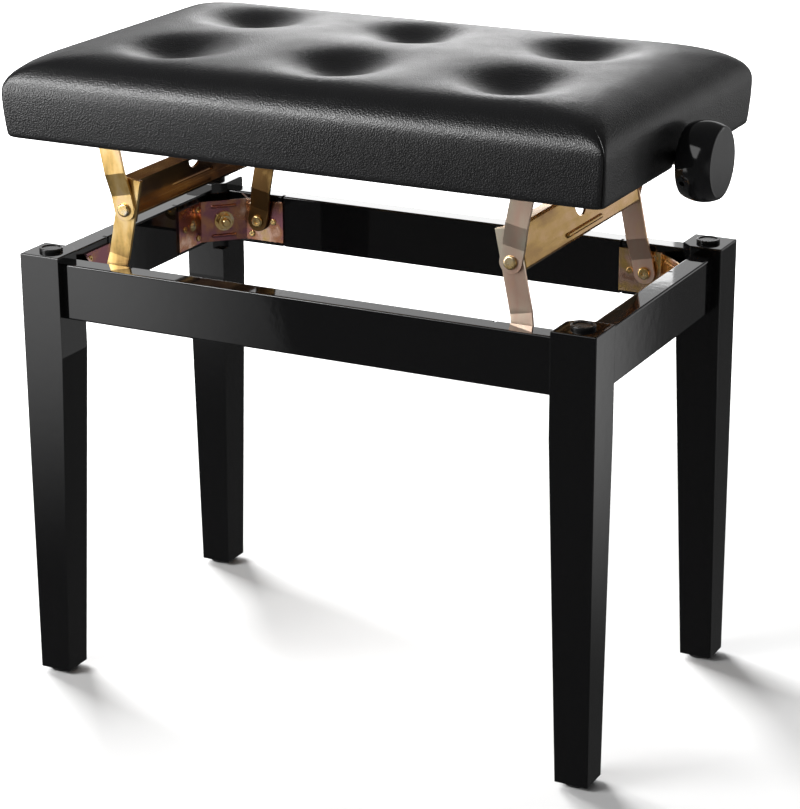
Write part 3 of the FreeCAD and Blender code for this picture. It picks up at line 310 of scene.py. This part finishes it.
# ---- Meshes ----
def make_piece(name, points, faces):
    mesh = bpy.data.meshes.new(name)
    mesh.from_pydata([tuple(p) for p in points], [], faces)
    mesh.update()
    piece = bpy.data.objects.new(name, mesh)
    bpy.context.scene.collection.objects.link(piece)
    return piece


def positions(mesh):
    flat = np.empty(len(mesh.vertices) * 3)
    mesh.vertices.foreach_get("co", flat)
    return flat.reshape(-1, 3)


def applied(piece):
    """The piece, with its mesh replaced by what its modifiers make of it."""
    view = bpy.context.evaluated_depsgraph_get()
    mesh = bpy.data.meshes.new_from_object(piece.evaluated_get(view))
    piece.modifiers.clear()
    piece.data = mesh
    return piece


def smooth(piece):
    piece.data.polygons.foreach_set("use_smooth", [True] * len(piece.data.polygons))
    return piece


# ---- Cushion ----
ROLL_INSET = SHOULDER_WIDTH * (1 - math.cos(math.radians(SHOULDER_TURNS[-1]))) - SIDE_BULGE
SEAT_MIDDLE = (SEAT_LOW + SEAT_HIGH) / 2
HALF_LENGTH = (SEAT_HIGH.x - SEAT_LOW.x) / 2
HALF_DEPTH = (SEAT_HIGH.y - SEAT_LOW.y) / 2


def grid_lines(half):
    """Symmetric grid lines from -half to half, closer together beside the corners."""
    near = [half - step for step in SEAM_STEPS]
    count = int(round(2 * near[-1] / GRID_STEP))
    middle = np.linspace(-near[-1], near[-1], count + 1)
    return np.array([-v for v in near[:-1]] + list(middle) + near[:-1][::-1])


def side_profile():
    """(inset, height) up the side, from the underside to the middle of the shoulder."""
    rows = [(HEM_ROUNDING, 0.0), (HEM_ROUNDING * 0.3, HEM_ROUNDING * 0.3), (0.0, HEM_ROUNDING)]
    count = int(round((SIDE_HEIGHT - HEM_ROUNDING) / GRID_STEP))
    for i in range(1, count + 1):
        rows.append((-SIDE_BULGE * math.sin(math.pi / 2 * i / count),
                     HEM_ROUNDING + (SIDE_HEIGHT - HEM_ROUNDING) * i / count))
    for degrees in SHOULDER_TURNS:
        turn = math.radians(degrees)
        rows.append((SHOULDER_WIDTH * (1 - math.cos(turn)) - SIDE_BULGE,
                     SIDE_HEIGHT + SHOULDER_RISE * math.sin(turn)))
    return rows


def top_height(inset):
    """Height of the cushion above its underside, at an inset from its side."""
    across = np.clip(1 - (inset + SIDE_BULGE) / SHOULDER_WIDTH, 0, 1)
    to_middle = np.clip((inset - ROLL_INSET) / (HALF_DEPTH - ROLL_INSET), 0, 1)
    return (SIDE_HEIGHT + SHOULDER_RISE * np.sqrt(1 - across ** 2)
            + CROWN * (1 - (1 - to_middle) ** 2))


def on_ring(x, y, ring_inset, inset, radius):
    """Moves a point on the rectangle at ring_inset to the rounded rectangle at inset."""
    wide, deep = HALF_LENGTH - inset, HALF_DEPTH - inset
    x = x * wide / max(HALF_LENGTH - ring_inset, 1e-9)
    y = y * deep / max(HALF_DEPTH - ring_inset, 1e-9)
    radius = min(radius, deep * 0.98)
    core_x = max(-(wide - radius), min(wide - radius, x))
    core_y = max(-(deep - radius), min(deep - radius, y))
    away = math.hypot(x - core_x, y - core_y)
    if away > 1e-9 and abs(x) > wide - radius and abs(y) > deep - radius:
        return core_x + (x - core_x) * radius / away, core_y + (y - core_y) * radius / away
    return x, y


def tuft_drop(x, y):
    """How far the buttons pull the top down, and how close a point is to one (1 at its middle)."""
    drop, close = 0.0, 0.0
    for tuft_x in TUFTS_X:
        for tuft_y in TUFTS_Y:
            away = math.hypot(x - tuft_x, y - tuft_y) / TUFT_RADIUS
            if away < 1:
                dip = (0.5 + 0.5 * math.cos(math.pi * away)) ** TUFT_SHARPNESS
                drop = max(drop, TUFT_DEPTH * dip)
                close = max(close, 1 - away)
    return drop, close


def cushion_form():
    """The closed form that the cloth starts from: its points, the faces of its top and sides,
    the faces of its hem and of the open underside, and how firmly each point is held."""
    xs, ys, rows = grid_lines(HALF_LENGTH), grid_lines(HALF_DEPTH), side_profile()
    last = (len(xs) - 1, len(ys) - 1, len(rows) - 1)
    index, points, pins = {}, [], []

    def point(i, j, k):
        if (i, j, k) in index:
            return index[i, j, k]
        x, y = xs[i], ys[j]
        ring = min(HALF_LENGTH - abs(x), HALF_DEPTH - abs(y))
        corner = i in (0, last[0]) and j in (0, last[1])
        pin = 1.0
        if k == last[2] and ring > 1e-9:
            inset = ROLL_INSET + ring * (1 - ROLL_INSET / HALF_DEPTH)
            px, py = on_ring(x, y, ring, inset, CORNER_RADIUS + CORNER_SOFTENING * inset)
            drop, close = tuft_drop(px, py)
            pz = top_height(inset) - drop
            pin = max(1 - ring / HELD_EDGE, (close - HELD_BUTTON) / (1 - HELD_BUTTON), 0.0)
        elif k == 0 and ring > 1e-9:
            px, py = on_ring(x, y, ring, ring + HEM_ROUNDING * (1 - ring / HALF_DEPTH),
                             CORNER_RADIUS)
            pz = 0.0
        else:
            inset, pz = rows[k]
            px, py = on_ring(x, y, 0.0, inset, CORNER_RADIUS + CORNER_SOFTENING * inset)
            wave = math.sin(2 * math.pi * pz / PUCKER_LENGTH)
            beside = abs(abs(x) - HALF_LENGTH) + abs(abs(y) - HALF_DEPTH)
            near_seam = math.exp(-((beside - PUCKER_PLACE) / PUCKER_SPREAD) ** 2)
            push = -SEAM_DEPTH if corner else PUCKER * (0.5 + 0.5 * wave) * near_seam
            px += push * math.copysign(1 / math.sqrt(2), x)
            py += push * math.copysign(1 / math.sqrt(2), y)
        index[i, j, k] = len(points)
        points.append((px + SEAT_MIDDLE.x, py + SEAT_MIDDLE.y, pz + SEAT_LOW.z))
        pins.append(min(pin, 1.0))
        return index[i, j, k]

    faces, hem_faces, open_faces = [], [], []
    for i in range(last[0]):
        for j in range(last[1]):
            faces.append((point(i, j, last[2]), point(i + 1, j, last[2]),
                          point(i + 1, j + 1, last[2]), point(i, j + 1, last[2])))
    for k in range(last[2]):
        for i in range(last[0]):
            faces.append((point(i, 0, k), point(i + 1, 0, k),
                          point(i + 1, 0, k + 1), point(i, 0, k + 1)))
            faces.append((point(i + 1, last[1], k), point(i, last[1], k),
                          point(i, last[1], k + 1), point(i + 1, last[1], k + 1)))
        for j in range(last[1]):
            faces.append((point(last[0], j, k), point(last[0], j + 1, k),
                          point(last[0], j + 1, k + 1), point(last[0], j, k + 1)))
            faces.append((point(0, j + 1, k), point(0, j, k),
                          point(0, j, k + 1), point(0, j + 1, k + 1)))
    for i in range(last[0]):
        for j in range(last[1]):
            x, y = (xs[i] + xs[i + 1]) / 2, (ys[j] + ys[j + 1]) / 2
            face = (point(i, j + 1, 0), point(i + 1, j + 1, 0), point(i + 1, j, 0), point(i, j, 0))
            if min(HALF_LENGTH - abs(x), HALF_DEPTH - abs(y)) < HEM_WIDTH:
                hem_faces.append(face)
            else:
                open_faces.append(face)
    return points, faces, hem_faces, open_faces, pins


def inflate(points, faces, pins):
    """Cloth under a little pressure, held at its seams, sides and buttons."""
    piece = make_piece("cushion_cloth", points, faces)
    group = piece.vertex_groups.new(name="held")
    for i, weight in enumerate(pins):
        if weight > 0:
            group.add([i], weight, "REPLACE")
    cloth = piece.modifiers.new("cloth", "CLOTH")
    settings = cloth.settings
    settings.vertex_group_mass = "held"
    settings.quality = 5
    settings.mass = 0.3
    settings.tension_stiffness = 40
    settings.compression_stiffness = 40
    settings.shear_stiffness = 20
    settings.bending_stiffness = 20
    settings.use_pressure = True
    settings.uniform_pressure_force = 4
    settings.effector_weights.gravity = 0
    cloth.point_cache.frame_start = 1
    cloth.point_cache.frame_end = CLOTH_STEPS
    for step in range(1, CLOTH_STEPS + 1):
        bpy.context.scene.frame_set(step)
    view = bpy.context.evaluated_depsgraph_get()
    swollen = bpy.data.meshes.new_from_object(piece.evaluated_get(view))
    start, end = np.array(points), positions(swollen)
    bpy.data.objects.remove(piece)
    move = end - start
    length = np.linalg.norm(move, axis=1, keepdims=True)
    return start + move * np.minimum(1, SWELL_CAP / np.maximum(length, 1e-9))


def shaft_cutter(side):
    """Prism through one side of the seat: the low notch and the hole round the spindle."""
    axis_z = (SPINDLE_LOW.z + SPINDLE_HIGH.z) / 2
    top = SEAT_LOW.z + NOTCH_HEIGHT
    start = math.asin((top - axis_z) / SHAFT_HOLE)
    outline = [(-NOTCH_HALF_WIDTH, SEAT_LOW.z - CUT_BELOW), (-NOTCH_HALF_WIDTH, top)]
    for i in range(SHAFT_HOLE_STEPS + 1):
        turn = math.pi - start - (math.pi - 2 * start) * i / SHAFT_HOLE_STEPS
        outline.append((SHAFT_HOLE * math.cos(turn), axis_z + SHAFT_HOLE * math.sin(turn)))
    outline += [(NOTCH_HALF_WIDTH, top), (NOTCH_HALF_WIDTH, SEAT_LOW.z - CUT_BELOW)]
    inner, outer = side * BEARING_HIGH.x, side * (SEAT_HIGH.x + CUT_OUTSIDE)
    count = len(outline)
    points = [(x, y, z) for x in (inner, outer) for y, z in outline]
    faces = [tuple(range(count)), tuple(range(2 * count - 1, count - 1, -1))]
    faces += [(i, i + count, (i + 1) % count + count, (i + 1) % count) for i in range(count)]
    cutter = make_piece("cutter", points, faces)
    bpy.context.view_layer.update()
    return cutter


def make_cushion():
    points, faces, hem_faces, open_faces, pins = cushion_form()
    points = inflate(points, faces + hem_faces + open_faces, pins)
    piece = make_piece("cushion", points, faces + hem_faces)
    # Unused points of the open underside go before the skin gets its thickness.
    used = np.zeros(len(piece.data.vertices), bool)
    used[[v for face in faces + hem_faces for v in face]] = True
    renumber = np.cumsum(used) - 1
    kept = positions(piece.data)[used]
    shown = [tuple(int(renumber[v]) for v in face) for face in faces + hem_faces]
    bpy.data.objects.remove(piece)
    piece = make_piece("cushion", kept, shown)
    finer = piece.modifiers.new("finer", "SUBSURF")
    finer.levels = finer.render_levels = 1
    skin = piece.modifiers.new("skin", "SOLIDIFY")
    skin.thickness = SKIN
    skin.offset = -1
    cutters = [shaft_cutter(-1), shaft_cutter(1)]
    for cutter in cutters:
        cut = piece.modifiers.new("notch", "BOOLEAN")
        cut.operation = "DIFFERENCE"
        cut.solver = "EXACT"
        cut.object = cutter
    applied(piece)
    for cutter in cutters:
        bpy.data.objects.remove(cutter)
    smooth(piece)
    paint(piece, FINISHES["seat_leather"])
    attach(piece, "seat")
    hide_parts("seat_foam", "seat_cover")


# ---- Spindle ----
def make_spindle():
    """Spindle with opposite threads on its two halves, smooth in the middle and at the journals."""
    axis_z = (SPINDLE_LOW.z + SPINDLE_HIGH.z) / 2
    crest = (SPINDLE_HIGH.z - SPINDLE_LOW.z) / 2
    shoulder = BEARING_LOW.x - SHOULDER_GAP
    thread_end = shoulder - THREAD_RUNOUT
    thread_length = thread_end - THREAD_START
    # (x, the thread's hand or None where it is smooth, radius) along the left half, then mirrored.
    rings = [(SPINDLE_LOW.x, None, JOURNAL_RADIUS - JOURNAL_CHAMFER),
             (SPINDLE_LOW.x + JOURNAL_CHAMFER, None, JOURNAL_RADIUS),
             (-shoulder, None, JOURNAL_RADIUS),
             (-shoulder, None, crest),
             (-thread_end, None, crest)]
    steps = int(thread_length / THREAD_LEAD * THREAD_ROWS)
    for i in range(1, steps):
        rings.append((-thread_end + thread_length * i / steps, -1, crest))
    rings.append((-THREAD_START, None, crest))
    rings += [(-x, None if hand is None else 1, radius) for x, hand, radius in reversed(rings)]
    points, faces = [], []
    for x, hand, radius in rings:
        for s in range(THREAD_SIDES):
            turn = 2 * math.pi * s / THREAD_SIDES
            r = radius
            if hand is not None:
                phase = (abs(x) / THREAD_LEAD + hand * turn / (2 * math.pi)) % 1
                r -= THREAD_DEPTH * (0.5 - 0.5 * math.cos(2 * math.pi * phase))
            points.append((x, r * math.cos(turn), axis_z + r * math.sin(turn)))
    for ring in range(len(rings) - 1):
        for s in range(THREAD_SIDES):
            a, b = ring * THREAD_SIDES + s, ring * THREAD_SIDES + (s + 1) % THREAD_SIDES
            faces.append((a, b, b + THREAD_SIDES, a + THREAD_SIDES))
    total = len(rings) * THREAD_SIDES
    faces.append(tuple(range(THREAD_SIDES - 1, -1, -1)))
    faces.append(tuple(range(total - THREAD_SIDES, total)))
    piece = make_piece("threaded_spindle", points, faces)
    smooth(piece)
    paint(piece, FINISHES["spindle_steel"])
    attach(piece, "spindle_body")
    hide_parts("spindle")


# ---- Studio ----
def seen_ray(mat, glossy=1.0):
    """1 for the camera's rays, direct or through glass, and the given strength in reflections."""
    path = node(mat, "LightPath")
    mirrored = node(mat, "Math", [(0, path.outputs["Is Glossy Ray"]), (1, glossy)],
                    operation="MULTIPLY")
    both = node(mat, "Math", [(0, path.outputs["Is Camera Ray"]), (1, mirrored.outputs[0])],
                operation="MAXIMUM")
    return node(mat, "Math", [(0, both.outputs[0]), (1, path.outputs["Is Transmission Ray"])],
                operation="MAXIMUM").outputs[0]


def step_between(mat, value, low, high, low_result=0.0, high_result=1.0):
    return node(mat, "MapRange", [("Value", value), ("From Min", low), ("From Max", high),
                                  ("To Min", low_result), ("To Max", high_result)],
                interpolation_type="SMOOTHSTEP").outputs["Result"]


def product(mat, *values):
    made = values[0]
    for value in values[1:]:
        made = node(mat, "Math", [(0, made), (1, value)], operation="MULTIPLY").outputs[0]
    return made


def make_floor():
    """Pale floor that the camera sees as white where no shadow falls on it. Away from the bench it
    also glows for the camera: painted light that fades the shadows there.
    """
    half = FLOOR_HALF
    corners = [(-half, -half, 0), (half, -half, 0), (half, half, 0), (-half, half, 0)]
    floor = make_piece("floor", corners, [(0, 1, 2, 3)])
    mat = material("pale_floor", Base_Color=(*[FLOOR_TONE] * 3, 1), Roughness=0.8)
    shader_of(mat).inputs["Specular IOR Level"].default_value = 0.0
    shader_of(mat).inputs["Emission Color"].default_value = (1, 1, 1, 1)
    away = node(mat, "VectorMath", [(0, place(mat))], operation="LENGTH").outputs["Value"]
    # Painted light: the glow grows with the distance from the middle, so shadows fade away from the
    # feet.
    glow = step_between(mat, away, *FLOOR_GLOW_REACH, *FLOOR_GLOW)
    connect(mat, "Emission Strength", product(mat, seen_ray(mat, 0.0), glow))
    mat.cycles.emission_sampling = "NONE"
    paint(floor, mat)
    floor.visible_glossy = False


def make_world():
    """White to the camera. Reflections show a dim room with soft bright fields in it."""
    world = bpy.data.worlds.new("studio")
    bpy.context.scene.world = world
    world.use_nodes = True
    world.cycles.sampling_method = "NONE"
    background = world.node_tree.nodes["Background"]
    background.inputs["Color"].default_value = (1, 1, 1, 1)
    towards = node(world, "TexCoord").outputs["Generated"]

    def facing(direction):
        along = node(world, "VectorMath", [(0, towards), (1, direction)], operation="DOT_PRODUCT")
        return along.outputs["Value"]

    def from_direction(direction):
        centre = Vector(direction).normalized()
        apart = node(world, "VectorMath", [(0, towards), (1, centre)], operation="DISTANCE")
        return apart.outputs["Value"]

    def between(value, low, high):
        """0 outside the two (start, end) ramps of a value and 1 between them."""
        return product(world, step_between(world, value, *low),
                       step_between(world, value, *high, 1.0, 0.0))

    height = facing((0, 0, 1))
    back = product(world,
                   step_between(world, facing((-0.47, 0.88, 0)), 0.80, 0.96, 0.0, BACK_FIELD),
                   between(height, (0.05, 0.15), (0.30, 0.45)))
    past_edge = facing(LEFT_EDGE)
    left = product(world,
                   step_between(world, past_edge, LEFT_EDGE_AT, LEFT_EDGE_AT + 0.005,
                                0.0, LEFT_FIELD),
                   step_between(world, past_edge, LEFT_EDGE_AT, LEFT_EDGE_AT + 0.08, 0.3, 1.0),
                   step_between(world, from_direction((-0.70, -0.71, -0.06)), 0.46, 0.30),
                   step_between(world, height, -0.39, -0.26))
    right = product(world, between(facing((0.915, -0.403, 0)), (-0.047, -0.015), (0.05, 0.06)),
                    step_between(world, facing((0.4, 0.92, 0)), 0.0, 0.3, 0.0, RIGHT_FIELD),
                    between(height, (-0.43, -0.31), (0.2, 0.35)))
    far_right = product(world,
                        step_between(world, facing((0.843, -0.537, 0)), 0.0, 0.03,
                                     0.0, FAR_RIGHT_FIELD),
                        step_between(world, facing((0, 1, 0)), 0.4, 0.6),
                        between(height, (-0.345, -0.325), (0.1, 0.35)))
    side = product(world, step_between(world, facing((0.34, 0.94, 0)), 0.80, 0.95, 0.0, SIDE_FIELD),
                   between(height, (-0.268, -0.24), (0.2, 0.35)))
    corner = product(world,
                     step_between(world, facing((0.83, -0.56, 0)), 0.75, 0.95, 0.0, CORNER_FIELD),
                     between(height, (-0.5, -0.3), (0.0, 0.3)))
    room = step_between(world, facing((0, 1, 0)), -0.3, 0.5, *ROOM_TONES)
    total = room
    for field in (back, left, right, far_right, side, corner):
        total = node(world, "Math", [(0, total), (1, field)], operation="ADD").outputs[0]
    scattered = node(world, "LightPath").outputs["Is Diffuse Ray"]
    amount = node(world, "Math", [(0, scattered), (1, WORLD_LIGHT), (2, seen_ray(world, total))],
                  operation="MULTIPLY_ADD")
    world.node_tree.links.new(amount.outputs[0], background.inputs["Strength"])


def softbox(name, spot, target, size, radiance, glossy):
    """Rectangular soft light, as bright as the radiance says wherever it is seen."""
    light = bpy.data.lights.new(name, "AREA")
    light.shape = "RECTANGLE"
    light.size, light.size_y = size
    light.energy = radiance * math.pi * size[0] * size[1]
    lamp = bpy.data.objects.new(name, light)
    bpy.context.scene.collection.objects.link(lamp)
    away = Vector(spot) - Vector(target)
    lamp.matrix_world = Matrix.Translation(spot) @ away.to_track_quat("Z", "Y").to_matrix().to_4x4()
    lamp.visible_glossy = glossy
    lamp.visible_camera = False


def make_camera():
    """Camera at the photograph's viewing angle."""
    ahead = Vector((-math.sin(CAMERA_HEADING) * math.cos(CAMERA_TILT),
                    math.cos(CAMERA_HEADING) * math.cos(CAMERA_TILT), -math.sin(CAMERA_TILT)))
    level = Vector((math.cos(CAMERA_HEADING), math.sin(CAMERA_HEADING), 0))
    above = level.cross(ahead)
    right = math.cos(CAMERA_ROLL) * level + math.sin(CAMERA_ROLL) * above
    up = math.cos(CAMERA_ROLL) * above - math.sin(CAMERA_ROLL) * level
    camera = bpy.data.cameras.new("camera")
    camera.sensor_width = SENSOR_WIDTH
    camera.lens = CAMERA_LENS
    viewer = bpy.data.objects.new("camera", camera)
    bpy.context.scene.collection.objects.link(viewer)
    turned = Matrix((right, up, -ahead)).transposed().to_4x4()
    viewer.matrix_world = Matrix.Translation(CAMERA_PLACE) @ turned
    bpy.context.scene.camera = viewer


bpy.context.scene.view_settings.view_transform = "Standard"
for part in frame["record"]["subparts"]:
    paint(frame["nodes"][part["node"]], FINISHES[part["material_slot"]])
make_cushion()
make_spindle()
make_camera()
make_floor()
make_world()
for lamp in LAMPS:
    softbox(*lamp)
